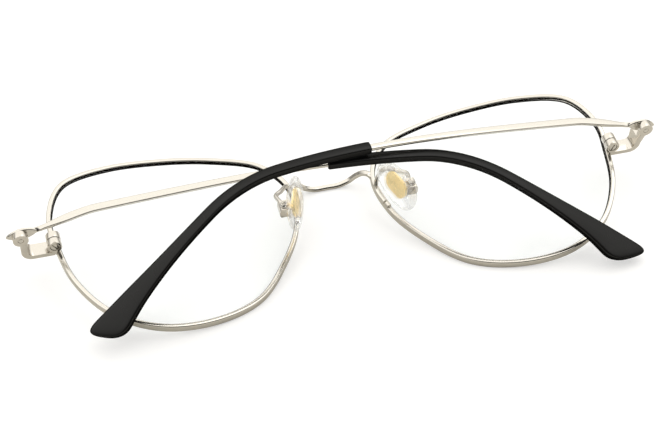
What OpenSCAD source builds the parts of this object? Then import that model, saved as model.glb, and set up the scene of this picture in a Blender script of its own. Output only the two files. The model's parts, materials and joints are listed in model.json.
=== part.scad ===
// Metal eyeglasses with grooved rims, adjustable nose pads and folding temples.
// Every piece is drawn as worn: x to the side, y up, z back toward the ears, with the origin
// midway between the lenses. laid() then sets the folded glasses down on the bridge and rims.

/* [Lens] */
// Distance between the two lens centres
centre_distance = 73; // [70:0.5:76]
// Width of the lens outline
lens_width = 52.9; // [50:0.1:55]
// Height of the lens outline
lens_height = 46.2; // [44:0.1:48]
// Thickness of the lens
lens_thickness = 1.4; // [1.2:0.05:1.5]
// Radius of the curved lens surface
lens_radius = 119; // [110:1:140]
// How far toward the nose the lens surface has its foremost point
lens_lean = 9.9; // [8:0.1:12]

/* [Rim] */
// Width of the rim wire seen from the front
rim_width = 1.0; // [0.9:0.05:1.2]
// Depth of the rim wire from front to back
rim_depth = 1.7; // [1.6:0.05:2]
// Width of the groove that holds the lens
groove_width = 0.7; // [0.6:0.02:0.8]
// Depth of the groove that holds the lens
groove_depth = 0.45; // [0.35:0.05:0.5]
// Gap where the rim is cut beside the hinge
rim_cut = 0.2; // [0.1:0.05:0.3]

/* [Bridge] */
// Height of the bridge bar
bridge_height = 1.2; // [1:0.05:1.5]
// Depth of the bridge bar from front to back
bridge_depth = 0.95; // [0.8:0.05:1.2]
// Height of the bridge middle above the lens centres
bridge_rise = 11.3; // [10.5:0.1:12]

/* [Rim lock] */
// Diameter of the lock barrel
lock_d = 3.0; // [2.8:0.1:3.4]
// Length of both half barrels with the cut between them
lock_length = 3.4; // [3.2:0.1:4]
// Diameter of the lock screw shaft
lock_screw_d = 1.1; // [0.9:0.05:1.2]

/* [Hinge] */
// Distance from the rim to the hinge axis, to the side
hinge_reach = 6.7; // [6.5:0.1:7.5]
// Distance from the rim to the hinge axis, to the back
hinge_setback = 7.1; // [6.9:0.1:8]
// Diameter of the hinge knuckle
knuckle_d = 3.2; // [3:0.1:3.4]
// Height of the hinge knuckle
knuckle_height = 1.55; // [1.4:0.05:1.6]
// Height of the end piece strip
strip_height = 3.2; // [3:0.1:3.6]
// Thickness of the end piece strip at the front
strip_thickness = 1.0; // [0.9:0.05:1.2]
// Thickness of the end piece arm beside the hinge
arm_thickness = 1.4; // [1.2:0.05:1.5]
// Diameter of the hinge screw shaft
hinge_screw_d = 1.2; // [1:0.05:1.4]
// Thickness of the flat leaf at the front end of the temple
leaf_thickness = 0.65; // [0.55:0.05:0.7]
// Length of the leaf between its two points
leaf_length = 6.7; // [6:0.1:7.2]
// Width of the leaf
leaf_width = 2.9; // [2.7:0.1:3.1]

/* [Temple] */
// Distance from the hinge to the end of the tip, along the bar
temple_length = 123.2; // [115:0.2:130]
// Height of the bar near the hinge
bar_height = 2.0; // [1.8:0.1:2.4]
// Height of the bar where it enters the tip
bar_height_end = 1.5; // [1.3:0.1:1.6]
// Thickness of the bar
bar_thickness = 0.8; // [0.7:0.05:1]
// Distance from the hinge to the start of the tip sleeve
tip_start = 64.8; // [60:0.2:67]
// Thickness of the tip sleeve where it starts
tip_thickness = 1.8; // [1.7:0.05:2]
// Height of the tip sleeve where it starts
tip_height = 2.2; // [2.1:0.1:2.5]
// Height of the paddle at the end of the tip
paddle_height = 5.4; // [4.5:0.1:6]
// Thickness of the paddle
paddle_thickness = 2.2; // [2:0.05:2.4]
// Angle that the paddle leans in at its lower edge
paddle_roll = 28; // [20:1:32]
// Distance from the hinge to the bend behind the ear
ear_bend = 84.5; // [80:0.5:88]
// Radius of the bend behind the ear
ear_radius = 27; // [22:1:35]
// Angle that the right tip turns down behind the ear
ear_angle_right = 31; // [29:0.5:38]
// Angle that the left tip turns down behind the ear; the tips are bent by hand to fit
ear_angle_left = 37.3; // [30:0.1:38]
// How far the right tip end curls in toward the head
tip_curl_right = 32.3; // [30:0.1:33]
// How far the left tip end curls in toward the head
tip_curl_left = 28.2; // [26:0.1:29]
// Angle of the folded right temple to the front
fold_right = 10.85; // [10.6:0.05:12]
// Angle of the folded left temple to the front, which lies below the right one
fold_left = 8.2; // [8:0.05:8.6]

/* [Nose pads] */
// Length of the soft pad
pad_length = 13.2; // [12:0.1:14]
// Width of the soft pad
pad_width = 7.8; // [7:0.1:8.5]
// Thickness of the soft pad
pad_thickness = 2.9; // [2.7:0.1:3.1]
// Angle that the pad face turns to the back
pad_splay = 17; // [12:1:24]
// Angle that the top of the pad leans toward the nose
pad_tilt = 18; // [12:1:22]
// Diameter of the pad arm wire
arm_wire_d = 1.0; // [0.9:0.05:1.2]
// Width of the small box that holds the pad
box_width = 2.3; // [2.2:0.05:2.5]
// Diameter of the pad screw shaft
pad_screw_d = 0.9; // [0.8:0.05:1]

/* [Resting] */
// Angle at which the glasses lean when they lie on the bridge and the lower rims
lean = 8.6; // [8:0.1:9]

/* [Hidden] */

silver = [0.89, 0.87, 0.82];
gold = [0.93, 0.72, 0.38];
black = [0.12, 0.12, 0.12];
clear = [0.9, 0.95, 0.97, 0.35];

// Small clearances: a free fit round a shaft, and a gap between faces that slide
fit = 0.05;
slide = 0.03;
// How far a cutting shape reaches past the face it cuts
past = 1;
// Screwdriver slot in the screw heads
slot_width = 0.3;
slot_cut = 0.25;

// Points of the right lens outline from its centre, going up from the rim cut at the temple side
outline_points = [
    [25.05, 0.4], [25.5, 8.7], [21.3, 17.3], [11.0, 21.3], [-1.0, 21.9],
    [-12.0, 20.2], [-22.0, 16.1], [-27.1, 8.0], [-26.0, -2.0], [-21.0, -11.2],
    [-13.5, -20.0], [-3.0, -23.9], [8.0, -23.6], [17.0, -18.4], [22.7, -9.5]];
outline_scale = [lens_width / 52.9, lens_height / 46.2];
outline_count = len(outline_points);
rim_steps = 96;
// Fraction of the outline that half of the rim cut takes up
cut_share = rim_cut / 2 / (9 * outline_count);

// Smooth curve between b and c, guided by their neighbours a and d
function blend(a, b, c, d, f) =
    (2 * b + (c - a) * f + (2 * a - 5 * b + 4 * c - d) * f * f + (3 * b - a - 3 * c + d) * f * f * f) / 2;

// Point of a closed smooth curve through p, with t from 0 to 1
function loop_point(p, t) =
    let (n = len(p), s = (t + 1) * n, i = floor(s), f = s - i)
    blend(p[(i + n - 1) % n], p[i % n], p[(i + 1) % n], p[(i + 2) % n], f);

// Point of an open smooth curve through p, with t from 0 to 1
function path_point(p, t) =
    let (n = len(p), s = t * (n - 1), i = min(floor(s), n - 2), f = s - i)
    blend(p[max(i - 1, 0)], p[i], p[i + 1], p[min(i + 2, n - 1)], f);

function unit(v) = v / norm(v);
function step_up(t) = let (f = min(max(t, 0), 1)) f * f * (3 - 2 * f);

// Outline point, moved outward by out
function outline(t, out = 0) =
    let (p = loop_point(outline_points, t), q = loop_point(outline_points, t + 0.001),
         o = loop_point(outline_points, t - 0.001), d = unit(q - o))
    [p[0] * outline_scale[0] + out * d[1], p[1] * outline_scale[1] - out * d[0]];

// Height of the middle surface of the lens, which is part of a large ball
lens_drop = lens_radius - sqrt(lens_radius * lens_radius - lens_lean * lens_lean);
function lens_level(p) =
    lens_radius - lens_drop
    - sqrt(lens_radius * lens_radius - pow(p[0] + lens_lean, 2) - p[1] * p[1]);

// Point beside the rim wire: out from its centre line and back from its middle
function rim_point(t, out = 0, back = 0) =
    let (p = outline(t, out))
    [centre_distance / 2 + p[0], p[1], lens_level(p) + back];

function rim_share(i) = cut_share + (1 - 2 * cut_share) * i / rim_steps;

// Sections of the rim wire as outward and backward steps, with and without the groove
half_w = rim_width / 2;
half_d = rim_depth / 2;
edge = 0.22;
floor_out = groove_depth - half_w;
rim_outside = [[half_w, -half_d + edge], [half_w, half_d - edge], [half_w - edge, half_d],
    [edge - half_w, half_d], [-half_w, half_d - edge]];
rim_inside = [[-half_w, edge - half_d], [edge - half_w, -half_d], [half_w - edge, -half_d]];
rim_groove = [[-half_w, groove_width / 2], [floor_out, groove_width / 2],
    [floor_out, -groove_width / 2], [-half_w, -groove_width / 2]];
rim_section = concat(rim_outside, rim_groove, rim_inside);
solid_section = concat(rim_outside, rim_inside);

function rim_rings(section, first, last) =
    [for (i = [first : last]) [for (c = section) rim_point(rim_share(i), c[0], c[1])]];

// Solid skin over rings of points that all have the same count
module skin(rings) {
    n = len(rings);
    m = len(rings[0]);
    sides = [for (i = [0 : n - 2], j = [0 : m - 1])
        let (a = i * m + j, b = i * m + (j + 1) % m, c = a + m, d = b + m)
        each [[a, b, d], [a, d, c]]];
    start = [for (j = [m - 1 : -1 : 0]) j];
    end = [for (j = [0 : m - 1]) (n - 1) * m + j];
    polyhedron(points = [for (r = rings) each r], faces = concat([start], sides, [end]));
}

// Rings of a bar along path points, with the section's first axis nearest to up and, where it
// has a third, that one along the path
function bar_rings(path, sections, up = [0, 1, 0]) =
    let (n = len(path))
    [for (i = [0 : n - 1])
        let (t = unit(path[min(i + 1, n - 1)] - path[max(i - 1, 0)]),
             w = unit(up - (up * t) * t),
             v = cross(w, t))
        [for (c = sections[i]) path[i] + c[0] * w + c[1] * v + (len(c) > 2 ? c[2] : 0) * t]];

// Rectangle of the given height and thickness with cut corners, turned by angle
function bar_section(h, t, c, angle = 0) =
    let (a = h / 2, b = t / 2)
    [for (p = [[a, -b + c], [a, b - c], [a - c, b], [c - a, b], [-a, b - c], [-a, c - b],
               [c - a, -b], [a - c, -b]])
        [p[0] * cos(angle) - p[1] * sin(angle), p[0] * sin(angle) + p[1] * cos(angle)]];

function round_section(d, n) = [for (i = [0 : n - 1]) [d / 2 * cos(360 * i / n), d / 2 * sin(360 * i / n)]];

// Resting position: how high and how far forward a worn point lies once the glasses are laid down
function laid_z(p) = p[1] * sin(lean) + p[2] * cos(lean);
function laid_y(p) = p[1] * cos(lean) - p[2] * sin(lean);
rim_all = [for (r = rim_rings(rim_section, 0, rim_steps)) each r];
rest_z = -min([for (p = rim_all) laid_z(p)]);

// Side of the frame: where the rim is cut and where the hinge axis stands
side = rim_point(0);
side_x = side[0] + half_w;
lock_y = side[1];
hinge_x = side_x + hinge_reach;
hinge_z = side[2] + hinge_setback;
leaf_y = -0.1;
knuckle_top = leaf_y - leaf_thickness / 2 - slide;
knuckle_bottom = knuckle_top - knuckle_height;
strip_bottom = lock_y - 1.0;
strip_front = side[2] - 0.8;
corner_r = 2.4;
// Length of the leaf's point beyond the hinge axis
leaf_point = 2.85;
leaf_clear = leaf_point + 0.12;
// How far the end piece arm reaches outward past the hinge axis, and the step in its top edge
arm_past = 0.25;
arm_step = 0.8;

// The bar rises by rise_height up to rise_end, then falls by bar_fall for each unit of length
rise_from = 1.5;
rise_end = 16;
rise_height = 1.6;
bar_fall = 0.073;
// The tip curls in by its full curl at curl_reach, and hardly at all before the sleeve
curl_reach = 125;
curl_power = 4.22;

// Height of the temple's centre line over the hinge line: a rise by the leaf, then the ear bend
function ear_drop(q, angle) =
    let (d = max(q - ear_bend, 0), a = ear_radius * sin(angle), e = min(d, a))
    ear_radius - sqrt(ear_radius * ear_radius - e * e) + max(d - a, 0) * tan(angle);
function bar_rise(q) =
    rise_height * step_up((q - rise_from) / (rise_end - rise_from)) - bar_fall * max(q - rise_end, 0);
// Point on the temple's centre line, from the hinge axis, while the temple is straight ahead
function temple_local(q, right) =
    [-q, bar_rise(q) - ear_drop(q, right ? ear_angle_right : ear_angle_left),
     -(right ? tip_curl_right : tip_curl_left) * pow(q / curl_reach, curl_power)];
// A point of the temple once it is folded by angle, as worn
function folded(p, angle) =
    [hinge_x + p[0] * cos(angle) + p[2] * sin(angle), leaf_y + p[1],
     hinge_z - p[0] * sin(angle) + p[2] * cos(angle)];

// Tip sleeve: a rounded bar that rolls and widens to a paddle with an oblique round end
tip_round = 3.0;
tip_skew = 1.45;
roll_from = 80;
roll_span = 28;
paddle_from = 100;
tip_stations = concat([0, 0.15, 0.5], [for (i = [1 : 8]) i * 3.6],
    [for (q = [32.4 : 2.6 : temple_length - tip_round - tip_start - 1]) q],
    [for (i = [0 : 8]) temple_length - tip_start - tip_round * (1 - sin(i * 11.2))]);

function tip_turn(q) = paddle_roll * step_up((q - roll_from) / roll_span);

// Rounded section from the lower edge to the upper edge; skew moves the upper edge farther along
function tip_section(low, high, t, angle, skew) =
    let (r = min(0.38 * t, 0.42 * (high - low)), c = 0.3 * r, b = t / 2)
    [for (p = [[high, r - b], [high, b - r], [high - c, b - c], [high - r, b],
               [(high + low) / 2, b + 0.06], [low + r, b], [low + c, b - c], [low, b - r],
               [low, r - b], [low + c, c - b], [low + r, -b], [high - r, -b], [high - c, c - b]])
        let (x = p[0], y = p[1])
        [x * cos(angle) - y * sin(angle), x * sin(angle) + y * cos(angle),
         skew * (2 * x - high - low) / (high - low)]];

function tip_rings(right) =
    let (path = [for (q = tip_stations) temple_local(tip_start + q, right)],
         span = temple_length - tip_start,
         sections = [for (q = tip_stations)
        let (w = pow(max(0, (tip_start + q - paddle_from) / (temple_length - paddle_from)), 1.4),
             start = q < 0.5 ? 0.82 + 0.18 * sqrt(1 - pow(1 - q / 0.5, 2)) : 1,
             e = max(0, (q - span + tip_round) / tip_round),
             end = pow(1 - pow(e, 2.6), 1 / 2.6),
             h = (tip_height + (paddle_height - tip_height) * w) * start * end,
             middle = -(paddle_height - tip_height) / 2 * 0.55 * w,
             t = (tip_thickness + (paddle_thickness - tip_thickness) * w) * start * sqrt(end))
        tip_section(middle - h / 2, middle + h / 2, t, tip_turn(tip_start + q),
            tip_skew * step_up((q - span + 9) / 9))])
    bar_rings(path, sections);

// Laid down and centred: the farthest points of the upper rim and of the tips
front_y = max([for (p = rim_all) laid_y(p)]);
tip_y = min([for (right = [true, false], ring = tip_rings(right), p = ring)
    laid_y(folded(p, right ? fold_right : fold_left))]);
rest_y = -(front_y + tip_y) / 2;

module laid(right) {
    translate([0, rest_y, rest_z])
        rotate([lean, 0, 0])
            if (right) {
                children();
            } else {
                mirror([1, 0, 0]) children();
            }
}

// Rim wire with its groove, open at the cut
module rim(right) {
    color(silver)
        laid(right)
            skin(rim_rings(rim_section, 0, rim_steps));
}

// The rim between two of its rings, to shape what is soldered on it: the nose side, and the few
// rings beside the cut
nose_from = round(rim_steps * 0.375);
nose_to = round(rim_steps * 0.57);
cut_rings = 4;
module rim_core(first, last) {
    skin(rim_rings(solid_section, first, last));
}

// Everything in front of and behind the outline moved outward by out
lens_reach = 8;
module lens_side(out) {
    translate([centre_distance / 2, 0, -lens_reach])
        linear_extrude(3 * lens_reach)
            polygon([for (i = [0 : rim_steps]) outline(rim_share(i), out)]);
}

// Curved plate of thickness t, cut to the outline moved outward by out
module curved_plate(t, out) {
    intersection() {
        lens_side(out);
        translate([centre_distance / 2 - lens_lean, 0, lens_radius - lens_drop])
            difference() {
                sphere(r = lens_radius + t / 2, $fn = 300);
                sphere(r = lens_radius - t / 2, $fn = 300);
            }
    }
}

module lens(right) {
    ridge = groove_width - 0.2;
    color(clear)
        laid(right) {
            curved_plate(lens_thickness, -half_w - fit);
            curved_plate(ridge, floor_out);
        }
}

// Bridge bar from rim to rim; its middle lies on the same level as the lowest rim points, and
// its ends climb back and turn down to the rims
bridge_edge = 0.22;
bridge_seat = rim_point(7.08 / outline_count);
bridge_front = (-rest_z + (bridge_height / 2 - bridge_edge) * sin(lean) + bridge_depth / 2 * cos(lean)
    - bridge_rise * sin(lean)) / cos(lean);
bridge_half = [
    [0, bridge_rise, bridge_front],
    [bridge_seat[0] * 0.29, bridge_rise, bridge_front + 0.04],
    [bridge_seat[0] * 0.54, bridge_rise, bridge_front + 0.95],
    [bridge_seat[0] - 2.9, bridge_rise - 0.4, bridge_front + 2.6],
    [bridge_seat[0] - 1.7, bridge_rise - 1.35, bridge_front + 4.3],
    [bridge_seat[0] - 0.65, bridge_rise - 2.7, bridge_seat[2] + 0.35],
    bridge_seat + [0, 0, 0.2]];
bridge_last = len(bridge_half) - 1;
bridge_path = concat(
    [for (i = [bridge_last : -1 : 1]) [-bridge_half[i][0], bridge_half[i][1], bridge_half[i][2]]],
    bridge_half);

module bridge() {
    steps = 56;
    path = [for (i = [0 : steps]) path_point(bridge_path, i / steps)];
    section = bar_section(bridge_height, bridge_depth, bridge_edge);
    color(silver)
        translate([0, rest_y, rest_z])
            rotate([lean, 0, 0])
                difference() {
                    skin(bar_rings(path, [for (p = path) section]));
                    for (m = [0, 1])
                        mirror([m, 0, 0]) {
                            rim_core(nose_from, nose_to);
                            lens_side(0);
                        }
                }
}

// Rim lock: two half barrels behind the rim, each on a foot that is soldered to the rim
lock_x = side_x;
lock_z = side[2] + half_d + lock_d / 2 + 0.1;
lock_half = (lock_length - rim_cut) / 2;
lock_head_d = lock_screw_d + 0.8;
lock_head_h = 0.6;
foot_width = 1.1;
foot_outside = 0.4;
lock_gap = 0.1;
// Closed end over the screw, and how deep the screw head sits
lock_cap = 0.4;
head_sunk = 0.1;

module lock_body(from) {
    translate([lock_x, from, lock_z])
        rotate([-90, 0, 0])
            cylinder(d = lock_d, h = lock_half, $fn = 48);
    translate([lock_x - foot_width + foot_outside, from, side[2]])
        cube([foot_width, lock_half, lock_z - side[2]]);
}

module lock_bore(d, from, h) {
    translate([lock_x, from, lock_z])
        rotate([-90, 0, 0])
            cylinder(d = d, h = h, $fn = 32);
}

module rim_lock_upper(right) {
    from = lock_y + rim_cut / 2;
    color(silver)
        laid(right)
            difference() {
                lock_body(from);
                lock_bore(lock_screw_d, from - past, past + lock_half - lock_cap);
                rim_core(0, cut_rings);
                translate([side_x - fit, from - past, strip_front - past])
                    cube([lock_d, lock_length, past + strip_thickness]);
            }
}

module rim_lock_lower(right) {
    from = lock_y - rim_cut / 2 - lock_half;
    color(silver)
        laid(right)
            difference() {
                lock_body(from);
                lock_bore(lock_screw_d + 2 * fit, from - past, lock_length);
                lock_bore(lock_head_d + 2 * fit, from - past, past + lock_head_h + head_sunk);
                rim_core(rim_steps - cut_rings, rim_steps);
                translate([side_x - fit, from - past, strip_front - past])
                    cube([lock_d, lock_length, past + strip_thickness + lock_gap]);
            }
}

module rim_lock_screw(right) {
    head_y = lock_y - rim_cut / 2 - lock_half + head_sunk;
    shaft = lock_length - head_sunk - lock_head_h - lock_cap - lock_gap;
    color(silver)
        laid(right)
            difference() {
                union() {
                    lock_bore(lock_head_d, head_y, lock_head_h);
                    lock_bore(lock_screw_d, head_y + lock_head_h, shaft);
                }
                translate([lock_x - lock_head_d, head_y - past, lock_z - slot_width / 2])
                    cube([2 * lock_head_d, past + slot_cut, slot_width]);
            }
}

// L-shaped strip seen from above, with a round corner
module strip_plan() {
    outer = [hinge_x + arm_past, strip_front];
    inner_r = corner_r - 1.2 * strip_thickness;
    inner = [outer[0] - arm_thickness - inner_r, strip_front + strip_thickness + inner_r];
    difference() {
        union() {
            translate([outer[0] - corner_r, outer[1] + corner_r]) circle(r = corner_r, $fn = 64);
            translate([side_x, outer[1]]) square([outer[0] - corner_r - side_x, 2 * corner_r]);
            translate([outer[0] - 2 * corner_r, outer[1] + corner_r])
                square([2 * corner_r, hinge_z - outer[1] - corner_r]);
        }
        translate(inner) circle(r = inner_r, $fn = 64);
        translate([side_x - past, inner[1] - inner_r]) square([inner[0] - side_x + past, hinge_z]);
        translate([side_x - past, inner[1]]) square([inner[0] + inner_r - side_x + past, hinge_z]);
    }
}

// Side of the end piece: full height at the front, and low where the point of the leaf swings over it
module strip_side() {
    top = strip_bottom + strip_height;
    stop = hinge_z - leaf_clear;
    back = hinge_z + past;
    front = strip_front - past;
    polygon([[front, strip_bottom], [strip_front + corner_r, strip_bottom],
        [hinge_z - 0.75 * knuckle_d / 2, knuckle_bottom], [back, knuckle_bottom], [back, knuckle_top],
        [stop, knuckle_top], [stop, top - arm_step], [stop - arm_step, top], [front, top]]);
}

module end_piece(right) {
    color(silver)
        laid(right)
            difference() {
                union() {
                    intersection() {
                        translate([0, 2 * strip_height, 0])
                            rotate([90, 0, 0]) linear_extrude(4 * strip_height) strip_plan();
                        rotate([0, -90, 0]) translate([0, 0, -hinge_x - 2 * arm_thickness])
                            linear_extrude(2 * hinge_reach) strip_side();
                    }
                    translate([hinge_x, knuckle_bottom, hinge_z])
                        rotate([-90, 0, 0])
                            cylinder(d = knuckle_d, h = knuckle_height, $fn = 48);
                }
                translate([hinge_x, knuckle_bottom - past, hinge_z])
                    rotate([-90, 0, 0])
                        cylinder(d = hinge_screw_d, h = knuckle_height + 2 * past, $fn = 32);
                rim_core(0, cut_rings);
                translate([side_x - past, strip_bottom - past, strip_front - past])
                    cube([past + lock_gap, past + lock_y + rim_cut / 2 + slide - strip_bottom,
                        strip_thickness + 2 * past]);
            }
}

// Hinge screw: the shaft is threaded into the knuckle and turns freely in the leaf
module hinge_screw(right) {
    head_d = hinge_screw_d + 1.1;
    head_h = 0.65;
    dome_r = 1.6;
    seat = leaf_y + leaf_thickness / 2 + slide;
    color(silver)
        laid(right)
            translate([hinge_x, 0, hinge_z])
                rotate([-90, 0, 0])
                    difference() {
                        union() {
                            translate([0, 0, knuckle_bottom])
                                cylinder(d = hinge_screw_d, h = seat - knuckle_bottom, $fn = 32);
                            intersection() {
                                translate([0, 0, seat]) cylinder(d = head_d, h = head_h, $fn = 48);
                                translate([0, 0, seat + head_h - dome_r]) sphere(r = dome_r, $fn = 96);
                            }
                        }
                        translate([-head_d, -slot_width / 2, seat + head_h - slot_cut])
                            cube([2 * head_d, slot_width, past]);
                    }
}

// The bar turns from the flat leaf to its upright face within this stretch
twist_from = 1.8;
twist_to = 5.4;
core_end = 108;
bar_stations = concat([for (i = [0 : 8]) twist_from + i * (twist_to - twist_from) / 8], [7],
    [for (i = [0 : 11]) 9.5 + i * 5], [for (i = [0 : 13]) 68 + i * 3], [core_end]);

module temple_bar(right) {
    path = [for (q = bar_stations) temple_local(q, right)];
    sections = [for (q = bar_stations)
        let (turn = 90 * (1 - step_up((q - twist_from) / (twist_to - twist_from))) + tip_turn(q),
             h = bar_height + (bar_height_end - bar_height) * min(max((q - 8) / (tip_start - 8), 0), 1),
             t = min(bar_thickness, leaf_thickness - 0.05 + 0.05 * max(q - 3, 0)))
        bar_section(h, t, t / 4, turn)];
    skin(bar_rings(path, sections));
}

// Flat almond leaf with the hole for the hinge screw
module leaf() {
    a = leaf_length / 2;
    b = leaf_width / 2;
    arc_r = (a * a + b * b) / (2 * b);
    rotate([90, 0, 0])
        translate([0, 0, -leaf_thickness / 2])
            linear_extrude(leaf_thickness)
                difference() {
                    translate([leaf_point - a, 0])
                        intersection() {
                            translate([0, arc_r - b]) circle(r = arc_r, $fn = 96);
                            translate([0, b - arc_r]) circle(r = arc_r, $fn = 96);
                        }
                    circle(d = hinge_screw_d + 2 * fit, $fn = 32);
                }
}

module fold_place(angle) {
    translate([hinge_x, leaf_y, hinge_z])
        rotate([0, angle, 0])
            children();
}

module temple(right) {
    color(silver)
        laid(right)
            fold_place(right ? fold_right : fold_left) {
                leaf();
                temple_bar(right);
            }
}

module temple_tip(right) {
    color(black)
        laid(right)
            fold_place(right ? fold_right : fold_left)
                difference() {
                    skin(tip_rings(right));
                    temple_bar(right);
                }
}

// Nose pads: places are set from the nose side of the rim
nose = rim_point(7.5 / outline_count);
pad_centre = nose + [1.9, -5.7, 8.6];
box_centre = nose + [4.7, -7.0, 8.9];
box_height = 2.8;
box_wall = 0.4;
tab_height = 1.3;
slot_depth = 1.1;
tab_depth = 0.9;
plate_width = 4.2;
plate_length = 6.8;
plate_thickness = 0.5;
pad_room = 0.3;
foot_low = rim_point(7.85 / outline_count, half_w, half_d);
foot_high = rim_point(7.5 / outline_count, half_w, half_d);
arm_points = [
    foot_low + [0.15, 0, arm_wire_d / 2 - 0.1],
    foot_high + [0.1, 0, arm_wire_d / 2 - 0.1],
    foot_high + [0.5, 1.6, 2.2],
    foot_high + [2.2, 2.1, 4.4],
    box_centre + [-1.0, 6.6, -2.0],
    box_centre + [0.5, 4.9, -1.2],
    box_centre + [0.4, 2.9, -0.5],
    box_centre + [0, box_height / 2, 0]];

module pad_arm(right) {
    steps = 35;
    path = [for (i = [0 : steps]) path_point(arm_points, i / steps)];
    section = round_section(arm_wire_d, 10);
    color(silver)
        laid(right)
            difference() {
                skin(bar_rings(path, [for (p = path) section], [1, 0, 0.2]));
                rim_core(nose_from, nose_to);
                translate(box_centre + [-box_width, -box_height / 2, -box_width])
                    cube([2 * box_width, box_height, 2 * box_width]);
            }
}

// Small box with a slot that opens toward the nose, and the screw across it
module pad_box(right) {
    color(silver)
        laid(right)
            translate(box_centre)
                difference() {
                    intersection() {
                        translate([-box_width / 2, -box_height / 2, -box_width / 2])
                            cube([box_width, box_height, box_width]);
                        translate([-0.4, 0, 0]) rotate([90, 0, 0])
                            cylinder(r = box_width * 0.72, h = 2 * box_height, center = true, $fn = 48);
                    }
                    translate([-box_width, box_wall - box_height / 2, -slot_depth / 2])
                        cube([1.5 * box_width - box_wall, box_height - 2 * box_wall, slot_depth]);
                    cylinder(d = pad_screw_d, h = 2 * box_width, center = true, $fn = 32);
                }
}

pad_head_r = 0.9;
pad_head_h = 0.8;

module pad_screw(right) {
    top = box_width / 2;
    color(silver)
        laid(right)
            translate(box_centre)
                difference() {
                    union() {
                        translate([0, 0, -top]) cylinder(d = pad_screw_d, h = box_width, $fn = 32);
                        intersection() {
                            translate([0, 0, top]) cylinder(r = pad_head_r, h = pad_head_h, $fn = 48);
                            translate([0, 0, top + pad_head_h - 1.1 * pad_head_r])
                                sphere(r = 1.1 * pad_head_r, $fn = 64);
                        }
                    }
                    translate([-pad_head_r, -slot_width / 2, top + pad_head_h - slot_cut])
                        cube([2 * pad_head_r, slot_width, past]);
                }
}

module pad_place() {
    translate(pad_centre)
        rotate([0, 0, pad_tilt])
            rotate([0, pad_splay, 0])
                children();
}

// Gold plate inside the pad, with a tab that reaches the pad box
module insert_shape() {
    pad_place()
        rotate([0, 90, 0])
            oval_plate(plate_width, plate_length, plate_thickness);
    difference() {
        translate([pad_centre[0], box_centre[1] - tab_height / 2, box_centre[2] - tab_depth / 2])
            cube([box_centre[0] - pad_centre[0], tab_height, tab_depth]);
        pad_place()
            translate([-pad_thickness, -pad_length / 2, -pad_length / 2])
                cube([pad_thickness, pad_length, pad_length]);
    }
    translate(box_centre)
        cylinder(d = tab_height, h = tab_depth, center = true, $fn = 32);
}

// Oval plate with straight sides and round ends
module oval_plate(w, l, t) {
    translate([0, 0, -t / 2]) {
        for (y = [w / 2 - l / 2, l / 2 - w / 2])
            translate([0, y, 0]) cylinder(d = w, h = t, $fn = 48);
        translate([-w / 2, w / 2 - l / 2, 0]) cube([w, l - w, t]);
    }
}

module pad_insert(right) {
    color(gold)
        laid(right)
            difference() {
                insert_shape();
                translate(box_centre)
                    cylinder(d = pad_screw_d + 2 * fit, h = 2 * box_width, center = true, $fn = 32);
            }
}

// Soft pad: rings along its length, wider toward the lower end
module pad_shape() {
    steps = 12;
    count = 16;
    rings = [for (i = [0 : steps])
        let (a = -90 + 176 * i / steps + 2,
             y = pad_length / 2 * sin(a),
             w = pad_width / 2 * pow(cos(a), 0.75) * (1 - 0.1 * sin(a)),
             t = pad_thickness / 2 * pow(cos(a), 0.6))
        [for (j = [0 : count - 1])
            [t * sin(360 * j / count), y, w * cos(360 * j / count)]]];
    skin(rings);
}

// Room that the pad leaves for the pad box and its screw head, so that it can rock on them
module box_room() {
    reach = box_width / 2 + pad_room;
    translate(box_centre - [reach, box_height / 2 + pad_room, reach])
        cube([2 * reach, box_height + 2 * pad_room, 2 * reach]);
    translate(box_centre)
        cylinder(r = pad_head_r + pad_room, h = box_width / 2 + pad_head_h + pad_room, $fn = 32);
}

module nose_pad(right) {
    color(clear)
        laid(right)
            difference() {
                pad_place() pad_shape();
                insert_shape();
                box_room();
            }
}

rim(false);  // rim_left
rim(true);  // rim_right
lens(false);  // lens_left
lens(true);  // lens_right
bridge();
rim_lock_upper(false);  // rim_lock_upper_left
rim_lock_upper(true);  // rim_lock_upper_right
rim_lock_lower(false);  // rim_lock_lower_left
rim_lock_lower(true);  // rim_lock_lower_right
rim_lock_screw(false);  // rim_lock_screw_left
rim_lock_screw(true);  // rim_lock_screw_right
end_piece(false);  // end_piece_left
end_piece(true);  // end_piece_right
hinge_screw(false);  // hinge_screw_left
hinge_screw(true);  // hinge_screw_right
temple(false);  // temple_left
temple(true);  // temple_right
temple_tip(false);  // temple_tip_left
temple_tip(true);  // temple_tip_right
pad_arm(false);  // pad_arm_left
pad_arm(true);  // pad_arm_right
pad_box(false);  // pad_box_left
pad_box(true);  // pad_box_right
pad_screw(false);  // pad_screw_left
pad_screw(true);  // pad_screw_right
pad_insert(false);  // pad_insert_left
pad_insert(true);  // pad_insert_right
nose_pad(false);  // nose_pad_left
nose_pad(true);  // nose_pad_right
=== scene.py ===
import json
import math

import bmesh
import bpy
import numpy as np
from mathutils import Matrix, Vector


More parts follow.
